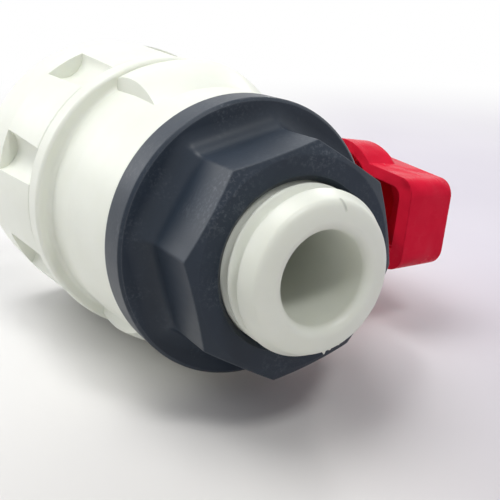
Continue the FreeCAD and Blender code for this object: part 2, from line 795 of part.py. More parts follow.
def make_pieces():
    """Build every piece and give them as a list."""
    pieces = [
        make_body(),
        make_back_nut(),
        make_washer("tank_washer", NUT_BORE, "tank_washer_radius", RECESS_FLOOR, "0"),
        make_ball(),
        make_seat("front_seat", -1),
        make_seat("rear_seat", 1),
    ]
    behind = "({} + seat_length + seat_ring_thick)".format(SEAT_FACE)
    seat_ring = "(bore_radius + {}) / 2".format(SEAT_OUTER)
    pieces.append(make_ring("front_seat_ring", seat_ring, "seat_ring_thick", "stem_place - " + behind))
    pieces.append(make_ring("rear_seat_ring", seat_ring, "seat_ring_thick", "stem_place + " + behind))
    pieces.append(make_seat_carrier())
    carrier_ring = CARRIER_RADIUS + " - carrier_ring_thick + seat_gap"
    pieces.append(make_ring("carrier_ring", carrier_ring, "carrier_ring_thick", "carrier_ring_place"))
    pieces.append(make_stem())
    stem_ring = "stem_radius - stem_ring_thick + seat_gap / 2"
    upper = "stem_ring_low + stem_ring_step"
    pieces.append(make_ring("stem_ring_inner", stem_ring, "stem_ring_thick", "stem_ring_low", "stem"))
    pieces.append(make_ring("stem_ring_outer", stem_ring, "stem_ring_thick", upper, "stem"))
    washer = new_body("stem_washer")
    corners = [(COLLAR_END, STEM_BORE), (COLLAR_END, "collar_radius")]
    corners += [(STEM_SHOULDER, "collar_radius"), (STEM_SHOULDER, STEM_BORE)]
    turned(washer, "Ring", corners, about="stem")
    pieces.append(on_stem(washer))
    pieces += [make_handle(), make_handle_screw(), make_handle_cap(), make_union_nut(), make_tail()]
    tail_washer = ("carrier_drive_radius", "tail_collar_radius", "body_end", TAIL_START)
    pieces.append(make_washer("tail_washer", *tail_washer))
    return pieces


def check(pieces):
    """Stop if any object failed or any piece has no sound solid."""
    for item in doc.Objects:
        if "Invalid" in item.State or "Error" in item.State:
            raise ValueError("{} failed: {}".format(item.Name, item.State))
    for piece in pieces:
        if piece.Shape.isNull() or not piece.Shape.isValid() or not piece.Shape.Solids:
            raise ValueError(piece.Label + " has no valid shape")


def write(pieces):
    """Write one STEP file for each piece."""
    os.makedirs("parts", exist_ok=True)
    for piece in pieces:
        piece.Shape.exportStep(os.path.join("parts", piece.Label + ".step"))
        print(piece.Label, len(piece.Shape.Solids), round(piece.Shape.Volume, 1))


pieces = make_pieces()
doc.recompute()
check(pieces)
write(pieces)
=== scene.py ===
import json
import logging
import math
from dataclasses import dataclass
from enum import Enum

import bpy
import numpy as np
from mathutils import Matrix, Vector

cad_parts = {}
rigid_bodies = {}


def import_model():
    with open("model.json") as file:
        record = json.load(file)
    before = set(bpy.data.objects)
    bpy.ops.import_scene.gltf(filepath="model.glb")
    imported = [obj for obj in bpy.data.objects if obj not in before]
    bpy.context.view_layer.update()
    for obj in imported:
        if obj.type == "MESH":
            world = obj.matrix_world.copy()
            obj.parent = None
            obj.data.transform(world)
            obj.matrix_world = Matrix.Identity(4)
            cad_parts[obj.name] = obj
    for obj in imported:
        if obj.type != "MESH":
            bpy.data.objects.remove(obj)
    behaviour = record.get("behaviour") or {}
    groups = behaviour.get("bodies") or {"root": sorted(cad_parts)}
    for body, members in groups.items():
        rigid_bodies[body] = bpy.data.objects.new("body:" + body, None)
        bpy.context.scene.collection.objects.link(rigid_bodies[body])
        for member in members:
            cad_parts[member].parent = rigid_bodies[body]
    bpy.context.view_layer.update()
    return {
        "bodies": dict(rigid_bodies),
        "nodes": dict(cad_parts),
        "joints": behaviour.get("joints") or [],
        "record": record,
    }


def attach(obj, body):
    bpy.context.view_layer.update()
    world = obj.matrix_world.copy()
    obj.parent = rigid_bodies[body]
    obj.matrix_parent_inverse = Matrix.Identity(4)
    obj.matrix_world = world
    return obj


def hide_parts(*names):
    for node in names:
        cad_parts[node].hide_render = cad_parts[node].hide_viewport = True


LOG = logging.getLogger("tap")

Colour = tuple[float, float, float]
Point = tuple[float, float, float]
Span = tuple[float, float]
Spot = tuple[float, float]
Grid = np.ndarray
Socket = bpy.types.NodeSocket
Sockets = dict[str | int, object]

# Metres in a millimetre, and the grid on which the body's loose corners are joined
MM = 0.001
JOIN_STEPS_PER_METRE = 1e7

# How the part lies on the table, and the angle past which an edge is shown sharp
TABLE_ROLL_DEG = 7.0
CREASE_DEG = 32.0

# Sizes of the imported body's spigot, in millimetres
SPIGOT_RADIUS = 10.48
SPIGOT_BORE = 6.61
SPIGOT_FRONT = -21.5
SPIGOT_THREAD_DEPTH = 1.16

# Places of the colour sockets on a Mix node, where a name stands for several sockets
MIX_FACTOR = 0
MIX_FIRST = 6
MIX_SECOND = 7
MIX_RESULT = 2


class Curve(Enum):
    """Ways from one end of a span to the other, by the node's name."""

    EVEN = "LINEAR"
    SOFT = "SMOOTHSTEP"


class Blend(Enum):
    """Ways to lay one colour over another, by the node's name."""

    PAINT = "MIX"
    GLASS = "MULTIPLY"


class Slot(Enum):
    """Material slots of the record, by the finish that they carry."""

    WHITE = "body"
    NUT = "nut"
    RED = "handle"
    SEAT = "seat"
    BALL = "ball"
    RUBBER = "rubber"
    STEEL = "steel"


def srgb(red: int, green: int, blue: int) -> Colour:
    """Turn a display colour into the linear one that a shader takes, by the sRGB curve.

    Args:
        red: red from 0 to 255.
        green: green from 0 to 255.
        blue: blue from 0 to 255.

    Returns:
        The linear colour.
    """
    parts = np.array([red, green, blue]) / 255.0
    linear = np.where(parts <= 0.04045, parts / 12.92, ((parts + 0.055) / 1.055) ** 2.4)
    return (float(linear[0]), float(linear[1]), float(linear[2]))


def table_turn() -> Matrix:
    """Give the turn about the flow axis from the table's upright frame to the part's own frame."""
    return Matrix.Rotation(math.radians(-TABLE_ROLL_DEG), 4, "Y")


def add_object(name: str, data: bpy.types.ID) -> bpy.types.Object:
    """Put a mesh, lamp or camera into the scene, at the origin.

    Args:
        name: the object's name.
        data: what it shows.

    Returns:
        The new object.
    """
    item = bpy.data.objects.new(name, data)
    bpy.context.collection.objects.link(item)
    return item


def mesh_points(mesh: bpy.types.Mesh) -> Grid:
    """Read a mesh's points.

    Args:
        mesh: the mesh.

    Returns:
        One row for each point, in metres.
    """
    flat = np.empty(len(mesh.vertices) * 3)
    mesh.vertices.foreach_get("co", flat)
    return flat.reshape(-1, 3)


@dataclass(frozen=True)
class Grain:
    """Noise on object coordinates.

    The scale is in grains per metre, detail counts the octaves, rough is the weight of the finer ones, and
    stretch multiplies the scale along each axis.
    """

    scale: float
    detail: float = 3.0
    rough: float = 0.5
    stretch: Point = (1.0, 1.0, 1.0)


@dataclass(frozen=True)
class Scratch:
    """Short shallow scratch along a straight line, in millimetres. Its shade darkens the colour."""

    start: Point
    end: Point
    width: float
    shade: float
    depth: float = 0.2
    strength: float = 0.6


class NodeKit:
    """Small helper that adds and joins the nodes of one material or world."""

    def __init__(self, owner: bpy.types.Material | bpy.types.World, output_kind: str) -> None:
        """Start an empty node tree.

        Args:
            owner: the material or world.
            output_kind: the type of its output node.
        """
        owner.use_nodes = True
        self.owner = owner
        self.tree = owner.node_tree
        self.tree.nodes.clear()
        self.output = self.add(output_kind)

    @classmethod
    def for_material(cls, name: str) -> "NodeKit":
        """Start a material of this name."""
        return cls(bpy.data.materials.new(name), "ShaderNodeOutputMaterial")

    @classmethod
    def for_world(cls, name: str) -> "NodeKit":
        """Start a world of this name."""
        return cls(bpy.data.worlds.new(name), "ShaderNodeOutputWorld")

    def add(self, kind: str, sockets: Sockets | None = None, **attributes: object) -> bpy.types.Node:
        """Add a node, set its attributes and fill its sockets.

        Args:
            kind: the node's type.
            sockets: by name or place, the constant that a socket holds or the socket that feeds it.
            attributes: the node's attributes by name.

        Returns:
            The new node.
        """
        node = self.tree.nodes.new(kind)
        for key, value in attributes.items():
            setattr(node, key, value)
        for key, value in (sockets or {}).items():
            if isinstance(value, Socket):
                self.tree.links.new(value, node.inputs[key])
            else:
                node.inputs[key].default_value = value
        return node

    def place(self) -> Socket:
        """Give the object coordinates, in metres."""
        return self.add("ShaderNodeTexCoord").outputs["Object"]

    def noise(self, grain: Grain) -> Socket:
        """Add a noise.

        Args:
            grain: its scale, detail, roughness and stretch.

        Returns:
            The noise value, about 0 to 1.
        """
        mapping = self.add("ShaderNodeMapping", {"Vector": self.place(), "Scale": grain.stretch})
        noise = self.add("ShaderNodeTexNoise", {"Vector": mapping.outputs["Vector"], "Scale": grain.scale,
                                                "Detail": grain.detail, "Roughness": grain.rough})
        return noise.outputs["Fac"]

    def ramp(self, source: Socket, span: Span, low: Colour, high: Colour) -> Socket:
        """Blend from one colour to another as a value rises.

        Args:
            source: the value.
            span: where the blend starts and ends.
            low: colour up to the start.
            high: colour from the end.

        Returns:
            The colour.
        """
        node = self.add("ShaderNodeValToRGB", {"Fac": source})
        for element, place, colour in zip(node.color_ramp.elements, span, (low, high)):
            element.position = place
            element.color = (*colour, 1.0)
        return node.outputs["Color"]

    def span(self, source: Socket, given: Span = (0.0, 1.0), wanted: Span = (0.0, 1.0),
             curve: Curve = Curve.EVEN) -> Socket:
        """Map a value from one span onto another and hold it there.

        Args:
            source: the value.
            given: the two values that are mapped to the ends.
            wanted: the results at those ends.
            curve: the way between them.

        Returns:
            The mapped value.
        """
        sockets = {"Value": source, "From Min": given[0], "From Max": given[1], "To Min": wanted[0],
                   "To Max": wanted[1]}
        return self.add("ShaderNodeMapRange", sockets, interpolation_type=curve.value).outputs["Result"]

    def product(self, first: Socket, second: Socket) -> Socket:
        """Multiply two values."""
        return self.add("ShaderNodeMath", {0: first, 1: second}, operation="MULTIPLY").outputs["Value"]

    def larger(self, first: Socket, second: Socket) -> Socket:
        """Take the larger of two values."""
        return self.add("ShaderNodeMath", {0: first, 1: second}, operation="MAXIMUM").outputs["Value"]

    def along(self, source: Socket, way: Point | Socket) -> Socket:
        """Give how far a vector reaches along a direction one unit long, which is their dot product."""
        node = self.add("ShaderNodeVectorMath", {0: source, 1: way}, operation="DOT_PRODUCT")
        return node.outputs["Value"]

    def lay(self, blend: Blend, other: Colour, colour: Socket, amount: Socket) -> Socket:
        """Lay a fixed colour over another one.

        Args:
            blend: the way that it is laid.
            other: the fixed colour.
            colour: the colour under it.
            amount: how much of it shows, 0 to 1.

        Returns:
            The colour of both.
        """
        sockets = {MIX_FACTOR: amount, MIX_FIRST: colour, MIX_SECOND: (*other, 1.0)}
        node = self.add("ShaderNodeMix", sockets, data_type="RGBA", blend_type=blend.value)
        return node.outputs[MIX_RESULT]

    def bump(self, height: Socket, strength: float, distance: float, under: Socket | None = None) -> Socket:
        """Add a bump.

        Args:
            height: the height value.
            strength: how much it counts.
            distance: height of the full value in metres, below zero for a hollow.
            under: the normal that it lies on.

        Returns:
            The normal.
        """
        sockets = {"Height": height, "Strength": strength, "Distance": distance}
        if under is not None:
            sockets["Normal"] = under
        return self.add("ShaderNodeBump", sockets).outputs["Normal"]

    def near_line(self, scratch: Scratch) -> Socket:
        """Mark the points near a straight line.

        The nearest point of the line is start + direction * clamp((p - start) . direction, 0, length),
        and the mark falls from 1 on the line to 0 at the scratch's width.

        Args:
            scratch: the line and its width.

        Returns:
            The mark, 0 to 1.
        """
        start = Vector(scratch.start) * MM
        line = Vector(scratch.end) * MM - start
        away = self.add("ShaderNodeVectorMath", {0: self.place(), 1: start}, operation="SUBTRACT")
        reach = self.along(away.outputs["Vector"], line.normalized())
        held = self.add("ShaderNodeClamp", {"Value": reach, "Max": line.length})
        foot = self.add("ShaderNodeVectorMath", {0: line.normalized(), "Scale": held.outputs["Result"]},
                        operation="SCALE")
        gap = self.add("ShaderNodeVectorMath", {0: away.outputs["Vector"], 1: foot.outputs["Vector"]},
                       operation="DISTANCE")
        return self.span(gap.outputs["Value"], (0.0, scratch.width * MM), (1.0, 0.0), Curve.SOFT)

    def seen(self) -> Socket:
        """Tell whether a point is seen, by the camera itself, in a gloss or through glass.

        Returns:
            1 where it is seen and 0 where it only gives light.
        """
        light = self.add("ShaderNodeLightPath")
        bare = self.larger(light.outputs["Is Camera Ray"], light.outputs["Is Glossy Ray"])
        return self.larger(bare, light.outputs["Is Transmission Ray"])

    def fade(self, amount: Socket, first: Socket, second: Socket) -> Socket:
        """Fade from one shader to another as the amount goes from 0 to 1."""
        return self.add("ShaderNodeMixShader", {"Fac": amount, 1: first, 2: second}).outputs["Shader"]

    def finish(self, shader: Socket) -> None:
        """Join a shader to the output."""
        self.tree.links.new(shader, self.output.inputs["Surface"])


@dataclass(frozen=True)
class PaintedEdgeHighlightAndWear:
    """Edges painted paler as a painted highlight, and patches of small rub marks, both paler than the
    plastic.
    """

    # colour of the painted edge highlight and of the rub marks
    light: Colour
    edge_turn: Span = (0.985, 0.86)
    edge_grain: Grain = Grain(480.0, 4.0, 0.6)
    edge_amount: Span = (0.1, 0.75)
    patch_grain: Grain = Grain(110.0, 2.0)
    patch_span: Span = (0.48, 0.7)
    mark_grain: Grain = Grain(2100.0, 5.0, 0.7)
    mark_span: Span = (0.5, 0.72)
    mark_amount: Span = (0.0, 0.5)

    def over(self, kit: NodeKit, colour: Socket, rounded: Socket) -> Socket:
        """Lay the painted edge highlight and the rub marks over a plain colour.

        The painted edge highlight rises as (rounded normal . normal) falls from one end of edge_turn to the
        other, and a noise breaks it up. The rub marks show where the patches and the fine marks meet.

        Args:
            kit: the material's nodes.
            colour: the plain colour.
            rounded: the normal that is rounded near edges.

        Returns:
            The colour with its painted edge highlight and rub marks.
        """
        flat = kit.add("ShaderNodeNewGeometry").outputs["Normal"]
        # painted highlight: edges are painted paler where the rounded normal turns away from the flat one
        edge_highlight = kit.span(kit.along(rounded, flat), self.edge_turn)
        edge_highlight = kit.product(edge_highlight, kit.span(kit.noise(self.edge_grain), wanted=self.edge_amount))
        patch = kit.span(kit.noise(self.patch_grain), self.patch_span)
        mark = kit.span(kit.noise(self.mark_grain), self.mark_span, self.mark_amount)
        highlit_and_worn = kit.larger(edge_highlight, kit.product(patch, mark))
        return kit.lay(Blend.PAINT, self.light, colour, highlit_and_worn)


@dataclass(frozen=True)
class MouldedPlastic:
    """Finish of an injection-moulded plastic: soft mottling, a fine skin and slow surface waves.

    The bend is the index of refraction, and the shine is the level of the gloss. The edge's rounding is in
    millimetres. The other lengths are in metres.
    """

    name: str
    light: Colour
    dark: Colour
    roughness: float
    bend: float = 1.49
    shine: float = 0.5
    inner_light: float = 0.0
    inner_reach: Point = (0.004, 0.0035, 0.0025)
    mottle_grain: Grain = Grain(90.0, 4.0, 0.55)
    mottle_span: Span = (0.3, 0.7)
    rub_grain: Grain = Grain(520.0, 5.0, 0.6, (1.0, 0.35, 1.0))
    rub_smoother: float = 0.06
    rub_rougher: float = 0.08
    wave: float = 0.2
    wave_grain: Grain = Grain(70.0, 1.0)
    wave_height: float = 0.0006
    skin: float = 0.25
    skin_grain: Grain = Grain(3200.0)
    skin_height: float = 0.00003
    edge_round: float = 0.0
    edge_samples: int = 6
    # paler painted edge highlight and rub marks, if any
    edge_highlight_and_wear: PaintedEdgeHighlightAndWear | None = None
    scratches: tuple[Scratch, ...] = ()

    def build(self) -> bpy.types.Material:
        """Build the material.

        Returns:
            The finished material.
        """
        kit = NodeKit.for_material(self.name)
        colour = kit.ramp(kit.noise(self.mottle_grain), self.mottle_span, self.dark, self.light)
        rounded = None
        if self.edge_round:
            soft = kit.add("ShaderNodeBevel", {"Radius": self.edge_round * MM}, samples=self.edge_samples)
            rounded = soft.outputs["Normal"]
        # painted edge highlight and rub marks, paler than the plastic
        if self.edge_highlight_and_wear is not None:
            colour = self.edge_highlight_and_wear.over(kit, colour, rounded)
        waves = kit.bump(kit.noise(self.wave_grain), self.wave, self.wave_height, rounded)
        normal = kit.bump(kit.noise(self.skin_grain), self.skin, self.skin_height, waves)
        for scratch in self.scratches:
            mark = kit.near_line(scratch)
            colour = kit.lay(Blend.GLASS, (scratch.shade,) * 3, colour, mark)
            normal = kit.bump(mark, scratch.strength, -scratch.depth * MM, normal)
        rub_span = (self.roughness - self.rub_smoother, self.roughness + self.rub_rougher)
        shader = kit.add("ShaderNodeBsdfPrincipled", {
            "Base Color": colour,
            "Roughness": kit.span(kit.noise(self.rub_grain), wanted=rub_span),
            "IOR": self.bend,
            "Specular IOR Level": self.shine,
            "Subsurface Weight": self.inner_light,
            "Subsurface Radius": self.inner_reach,
            "Subsurface Scale": 1.0,
            "Normal": normal,
        })
        kit.finish(shader.outputs["BSDF"])
        return kit.owner


@dataclass(frozen=True)
class Rubber:
    """Matt black rubber with a fine grain, whose height is in metres."""

    name: str = "black_rubber"
    light: Colour = srgb(44, 44, 45)
    dark: Colour = srgb(22, 22, 23)
    roughness: float = 0.75
    grain: Grain = Grain(900.0, 4.0, 0.6)
    grain_span: Span = (0.3, 0.8)
    grain_strength: float = 0.3
    grain_height: float = 0.00005

    def build(self) -> bpy.types.Material:
        """Build the material.

        Returns:
            The finished material.
        """
        kit = NodeKit.for_material(self.name)
        grain = kit.noise(self.grain)
        shader = kit.add("ShaderNodeBsdfPrincipled", {
            "Base Color": kit.ramp(grain, self.grain_span, self.dark, self.light),
            "Roughness": self.roughness,
            "Normal": kit.bump(grain, self.grain_strength, self.grain_height),
        })
        kit.finish(shader.outputs["BSDF"])
        return kit.owner


@dataclass(frozen=True)
class TurnedSteel:
    """Plain steel with fine turning marks round the screw's axis."""

    name: str = "turned_steel"
    light: Colour = srgb(198, 198, 196)
    dark: Colour = srgb(150, 150, 148)
    mark_grain: Grain = Grain(600.0, 3.0, 0.5, (12.0, 1.0, 1.0))
    mark_span: Span = (0.3, 0.8)
    roughness: Span = (0.24, 0.42)

    def build(self) -> bpy.types.Material:
        """Build the material.

        Returns:
            The finished material.
        """
        kit = NodeKit.for_material(self.name)
        marks = kit.noise(self.mark_grain)
        shader = kit.add("ShaderNodeBsdfPrincipled", {
            "Base Color": kit.ramp(marks, self.mark_span, self.dark, self.light),
            "Metallic": 1.0,
            "Roughness": kit.span(marks, wanted=self.roughness),
        })
        kit.finish(shader.outputs["BSDF"])
        return kit.owner


BODY_SCRATCHES = (
    Scratch((1.6, -21.3, 8.4), (1.1, -20.6, 9.6), width=0.3, shade=0.7),
    Scratch((-9.8, 4.8, 19.0), (-6.4, 4.8, 19.0), width=0.18, shade=0.85),
)

FINISHES = {
    Slot.WHITE: MouldedPlastic("white_polypropylene", srgb(234, 237, 227), srgb(228, 231, 219),
                               roughness=0.36, inner_light=0.1, scratches=BODY_SCRATCHES),
    # the nut's edges carry a painted highlight, and its faces carry rub marks
    Slot.NUT: MouldedPlastic("grey_nylon", srgb(42, 52, 65), srgb(35, 44, 55), roughness=0.38, shine=0.3,
                             skin=0.45, wave=0.35, edge_round=0.35, edge_highlight_and_wear=PaintedEdgeHighlightAndWear(srgb(112, 118, 126))),
    Slot.RED: MouldedPlastic("red_plastic", srgb(222, 34, 62), srgb(211, 27, 54), roughness=0.26,
                             bend=1.25, shine=0.06, wave=1.0, wave_grain=Grain(190.0, 1.0),
                             wave_height=0.0011, edge_round=0.3),
    Slot.SEAT: MouldedPlastic("white_seat", srgb(238, 238, 234), srgb(228, 228, 224), roughness=0.32),
    Slot.BALL: MouldedPlastic("polished_ball", srgb(226, 228, 222), srgb(218, 220, 212), roughness=0.18),
    Slot.RUBBER: Rubber(),
    Slot.STEEL: TurnedSteel(),
}


class Finishes:
    """The part's materials, one for each slot."""

    def __init__(self) -> None:
        """Build all the materials."""
        self.made = {slot: finish.build() for slot, finish in FINISHES.items()}

    def dress(self, frame: dict) -> None:
        """Give every carried-over solid the finish of its slot.
        """
        slots = {part["node"]: Slot(part["material_slot"]) for part in frame["record"]["subparts"]}
        for node, item in frame["nodes"].items():
            item.data.materials.clear()
            item.data.materials.append(self.made[slots[node]])
            LOG.info("%s dressed in %s", node, self.made[slots[node]].name)


def ring_piece(name: str, radius: Grid, height: Grid) -> bpy.types.Object:
    """Make a closed ring round the flow axis from a section that goes all the way round it.

    Row i and column j hold the point (r sin t, y, r cos t), where r is radius[i, j], y is height[i, j] and
    t = 2 pi j / columns. Rows and columns both close on themselves, so the surface has no open edge.

    Args:
        name: the piece's name.
        radius: distance from the flow axis in millimetres, one row for each point of the section.
        height: place along the flow axis in millimetres, on the same grid.

    Returns:
        The new object, with its place in its mesh and its faces outwards.
    """
    rows, columns = radius.shape
    turn = np.linspace(0.0, 2.0 * math.pi, columns, endpoint=False)
    points = np.stack([radius * np.sin(turn), height, radius * np.cos(turn)], axis=-1).reshape(-1, 3) * MM
    index = np.arange(rows * columns).reshape(rows, columns)
    below = np.roll(index, -1, axis=0)
    after = np.roll(index, -1, axis=1)
    corner = np.roll(below, -1, axis=1)
    faces = np.stack([index, below, corner, after], axis=-1).reshape(-1, 4)
    first, second, third = (points[faces[:, place]] for place in range(3))
    volume = float((first * np.cross(second - first, third - first)).sum())
    if volume < 0.0:
        faces = faces[:, ::-1]
    mesh = bpy.data.meshes.new(name)
    mesh.from_pydata(points.tolist(), [], faces.tolist())
    mesh.polygons.foreach_set("use_smooth", np.ones(len(faces), dtype=bool))
    mesh.set_sharp_from_angle(angle=math.radians(CREASE_DEG))
    mesh.update()
    return add_object(name, mesh)


@dataclass(frozen=True)
class MouldedThread:
    """Right-handed thread with rounded ridges on the body, in millimetres along the flow axis.

    The flat is the share of half a pitch that the crest takes, and as much again is left at the root. The
    straight is the share of the flank's height that rises evenly.
    """

    name: str
    crest: float
    depth: float
    pitch: float
    start: float
    end: float
    run_in: float
    flat: float = 0.12
    straight: float = 0.35
    lead_turns: float = 0.0
    around: int = 144
    per_turn: int = 18
    skin: float = 0.03
    sunk: float = 0.3
    bare_rise: float = 0.02

    def build(self) -> bpy.types.Object:
        """Build the ridges as a ring that lies on the body's plain root cylinder.

        The radius at turn angle t and place y is root + skin + (depth - skin) * f * g, where f is the
        ridge's profile at the phase y / pitch - t / 2 pi - lead, and g rises from 0 to 1 over the run-in
        at each end. Where g is under the bare rise, the surface dips under the cylinder.

        Returns:
            The ring of ridges.
        """
        root = self.crest - self.depth
        rows = round((self.end - self.start) / self.pitch * self.per_turn)
        place = np.linspace(self.start, self.end, rows)[:, None]
        phase = place / self.pitch - np.arange(self.around)[None, :] / self.around - self.lead_turns
        rise = np.clip(np.minimum(place - self.start, self.end - place) / self.run_in, 0.0, 1.0)
        rise = rise * rise * (3.0 - 2.0 * rise)
        outer = root + self.skin + (self.depth - self.skin) * self.profile(phase) * rise
        outer -= 2.0 * self.skin * (rise < self.bare_rise)
        sleeve = np.full((1, self.around), root - self.sunk)
        height = np.broadcast_to(place, outer.shape)
        radius = np.concatenate([sleeve, outer, sleeve])
        height = np.concatenate([height[:1], height, height[-1:]])
        return ring_piece(self.name, radius, height)

    def profile(self, phase: Grid) -> Grid:
        """Give the ridge's height, 0 at the root and 1 at the crest.

        The distance from the nearest crest runs from 0 to 1 half a pitch away. Between the two flats the
        flank s falls evenly from 1 to 0, and the height is straight * s + (1 - straight) * (3 s^2 - 2 s^3).

        Args:
            phase: place in turns of the thread.

        Returns:
            The height.
        """
        away = 2.0 * np.abs((phase + 0.5) % 1.0 - 0.5)
        flank = np.clip((1.0 - self.flat - away) / (1.0 - 2.0 * self.flat), 0.0, 1.0)
        return self.straight * flank + (1.0 - self.straight) * flank * flank * (3.0 - 2.0 * flank)


@dataclass(frozen=True)
class SpigotNose:
    """Smooth nose of the spigot: undercut behind it, tapered lead, slanted face, rounded mouth and bore.

    The sizes are in millimetres, and places lie along the flow axis. The shoulder's points are measured
    from the spigot's radius and the end of the undercut's cone.
    """

    name: str = "spigot_nose"
    back_reach: float = 1.1
    back_slope: float = 0.4
    edge_sunk: float = 0.05
    neck_radius: float = 9.5
    neck_start: float = -17.35
    neck_width: float = 0.55
    cone: float = 0.55
    shoulder: tuple[Spot, ...] = ((-0.12, 0.04), (0.0, -0.1), (-0.02, -0.5))
    lead_end: Spot = (9.74, -20.3)
    lead_corner: Spot = (9.52, -20.9)
    face_start: Spot = (8.75, -21.12)
    mouth_round: float = 1.3
    bore: float = 5.95
    bore_end: float = 2.0
    bore_slope: float = 0.5
    wall_sunk: float = 0.35
    around: int = 160
    steps: int = 14

    def build(self) -> bpy.types.Object:
        """Build the nose by carrying its section round the flow axis.

        The section runs from the back over the neck and the shoulder to the lead, and back through the
        mouth and the bore. It closes inside the body's wall.

        Returns:
            The nose with its bore lining.
        """
        root = SPIGOT_RADIUS - SPIGOT_THREAD_DEPTH
        back = self.neck_start + self.back_reach
        cone_end = self.neck_start - self.neck_width - self.cone
        wall = SPIGOT_BORE + self.wall_sunk
        section = np.array([
            (root - self.edge_sunk, back),
            (root, self.neck_start + self.back_slope),
            (self.neck_radius, self.neck_start),
            (self.neck_radius, self.neck_start - self.neck_width),
            *((SPIGOT_RADIUS + out, cone_end + forward) for out, forward in self.shoulder),
            *self.lead(),
            *self.mouth(),
            (self.bore, self.bore_end - self.bore_slope),
            (SPIGOT_BORE - self.edge_sunk, self.bore_end),
            (wall, self.bore_end),
            (wall, back),
        ])
        shape = (len(section), self.around)
        radius = np.broadcast_to(section[:, :1], shape)
        return ring_piece(self.name, radius, np.broadcast_to(section[:, 1:], shape))

    def lead(self) -> list[list[float]]:
        """Give the lead's rounded corner.

        It is (1 - u)^2 a + 2 u (1 - u) b + u^2 c, with a at the lead's end, b at its corner and c at the
        start of the face.

        Returns:
            Radius and place of each point.
        """
        share = np.linspace(0.0, 1.0, self.steps)[:, None]
        curve = (1.0 - share) ** 2 * np.array(self.lead_end)
        curve += 2.0 * share * (1.0 - share) * np.array(self.lead_corner)
        curve += share ** 2 * np.array(self.face_start)
        return curve.tolist()

    def mouth(self) -> list[list[float]]:
        """Give the quarter circle from the face into the bore.

        Its points are (bore + q (1 - sin a), front + q (1 - cos a)), with q the mouth's rounding.

        Returns:
            Radius and place of each point.
        """
        quarter = np.linspace(0.0, 0.5 * math.pi, self.steps)
        radius = self.bore + self.mouth_round * (1.0 - np.sin(quarter))
        place = SPIGOT_FRONT + self.mouth_round * (1.0 - np.cos(quarter))
        return np.stack([radius, place], axis=-1).tolist()


@dataclass(frozen=True)
class BodyShell:
    """The body's own surface with its plain nose drawn back, so that the detailed nose covers it.

    The sizes are in millimetres.
    """

    node: str = "body"
    name: str = "body_shell"
    line: float = -16.0
    drawn_radius: float = 9.2
    drawn_place: float = -16.9
    drawn_length: float = 0.05

    def build(self) -> bpy.types.Object:
        """Copy the body's surface, join its loose corners and draw the nose in.

        Each face keeps the true normals that the frame gives it.

        Returns:
            The closed shell, which stands for the body.
        """
        source = bpy.data.objects[self.node].data
        corners = np.empty(len(source.loops), dtype=np.int64)
        source.loops.foreach_get("vertex_index", corners)
        normals = np.empty(len(source.loops) * 3)
        source.corner_normals.foreach_get("vector", normals)
        points = mesh_points(source)
        keys = np.round(points * JOIN_STEPS_PER_METRE).astype(np.int64)
        _, first, joined = np.unique(keys, axis=0, return_index=True, return_inverse=True)
        faces = joined.reshape(-1)[corners].reshape(-1, 3)
        shell = self.draw_in(points[first] / MM) * MM
        mesh = bpy.data.meshes.new(self.name)
        mesh.from_pydata(shell.tolist(), [], faces.tolist())
        mesh.polygons.foreach_set("use_smooth", np.ones(len(faces), dtype=bool))
        mesh.normals_split_custom_set(normals.reshape(-1, 3).tolist())
        return add_object(self.name, mesh)

    def draw_in(self, points: Grid) -> Grid:
        """Draw the plain nose in.

        A point in front of the line keeps its direction from the flow axis. Its distance r becomes
        bore + (r - bore) * (drawn radius - bore) / (spigot radius - bore), and its place y becomes
        drawn place + drawn length * (y - line).

        Args:
            points: the body's points in millimetres.

        Returns:
            The points with those of the nose moved.
        """
        moved = points.copy()
        front = points[:, 1] < self.line
        radius = np.hypot(points[front, 0], points[front, 2])
        share = (self.drawn_radius - SPIGOT_BORE) / (SPIGOT_RADIUS - SPIGOT_BORE)
        scale = (SPIGOT_BORE + (radius - SPIGOT_BORE) * share) / radius
        moved[front, 0] *= scale
        moved[front, 2] *= scale
        moved[front, 1] = self.drawn_place + self.drawn_length * (points[front, 1] - self.line)
        return moved


@dataclass(frozen=True)
class NoseFlash:
    """Ragged fin of flash along the nose's lower edge, with one small nib, in millimetres and degrees.

    Each wave is the height, the count round the nose and the shift in radians of one sine.
    """

    name: str = "nose_flash"
    nose_radius: float = 9.84
    place: float = -20.05
    thickness: float = 0.16
    middle_deg: float = 155.0
    spread_deg: float = 17.0
    tallest: float = 0.34
    nib_deg: float = 168.0
    nib_tall: float = 0.46
    nib_spread_deg: float = 1.1
    mean_wave: float = 0.5
    waves: tuple[tuple[float, int, float], ...] = ((0.22, 31, 0.6), (0.2, 53, 2.1), (0.16, 89, 0.0))
    sunk: float = 0.05
    foot: float = 0.4
    tip_fall: float = 0.04
    tip_share: float = 0.7
    around: int = 720

    def build(self) -> bpy.types.Object:
        """Build the fin as a thin ring that is sunk in the nose except where the flash stands.

        Its height over the nose at angle t is tallest * n * w + nib_tall * b - sunk, where n is the mean
        wave and the sines, w a smooth window round the middle and b a narrow bell at the nib.

        Returns:
            The fin.
        """
        degrees = np.arange(self.around) * 360.0 / self.around
        turn = np.radians(degrees)
        window = np.exp(-((degrees - self.middle_deg) / self.spread_deg) ** 4)
        nib = np.exp(-((degrees - self.nib_deg) / self.nib_spread_deg) ** 2)
        sines = (tall * np.sin(count * turn + shift) for tall, count, shift in self.waves)
        ragged = sum(sines, self.mean_wave)
        tip = self.nose_radius - self.sunk + self.tallest * ragged * window + self.nib_tall * nib
        foot = np.full_like(tip, self.nose_radius - self.foot)
        radius = np.stack([foot, tip - self.tip_fall, tip, tip - self.tip_fall, foot])
        sides = np.array([-1.0, -self.tip_share, 0.0, self.tip_share, 1.0])[:, None]
        height = self.place + np.broadcast_to(0.5 * self.thickness * sides, radius.shape)
        return ring_piece(self.name, radius, height)


